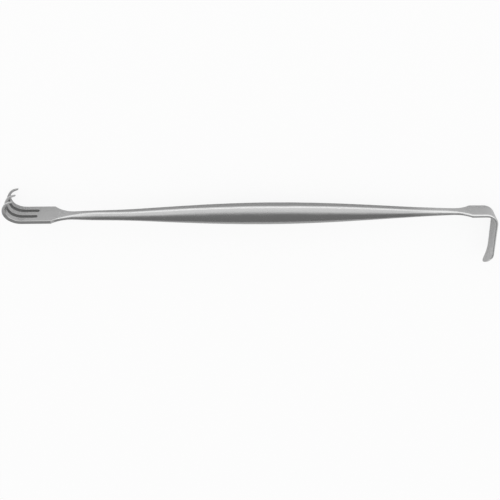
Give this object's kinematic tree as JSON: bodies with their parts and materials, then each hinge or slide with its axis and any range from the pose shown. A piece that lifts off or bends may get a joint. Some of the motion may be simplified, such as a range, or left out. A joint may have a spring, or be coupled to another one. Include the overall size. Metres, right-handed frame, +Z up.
{
  "type": "handheld surgical retractor",
  "caption": "Double-ended handheld retractor in satin stainless steel: slim swelling handle, sharp pronged rake at one end and an L-shaped round-ended blade at the other.",
  "frame": {"origin": "on the ground, under the middle of the lying instrument's outline", "axes": "+X along the handle from the rake to the blade, +Y the way the rake's prongs point and the plates' flat faces look, +Z up from the ground, across the plates"},
  "size_m": [0.1598, 0.0264, 0.0101],
  "materials": {
    "satin_steel": "satin"
  },
  "bodies": {
    "root": {"retractor": "satin_steel"}
  },
  "joints": []
}
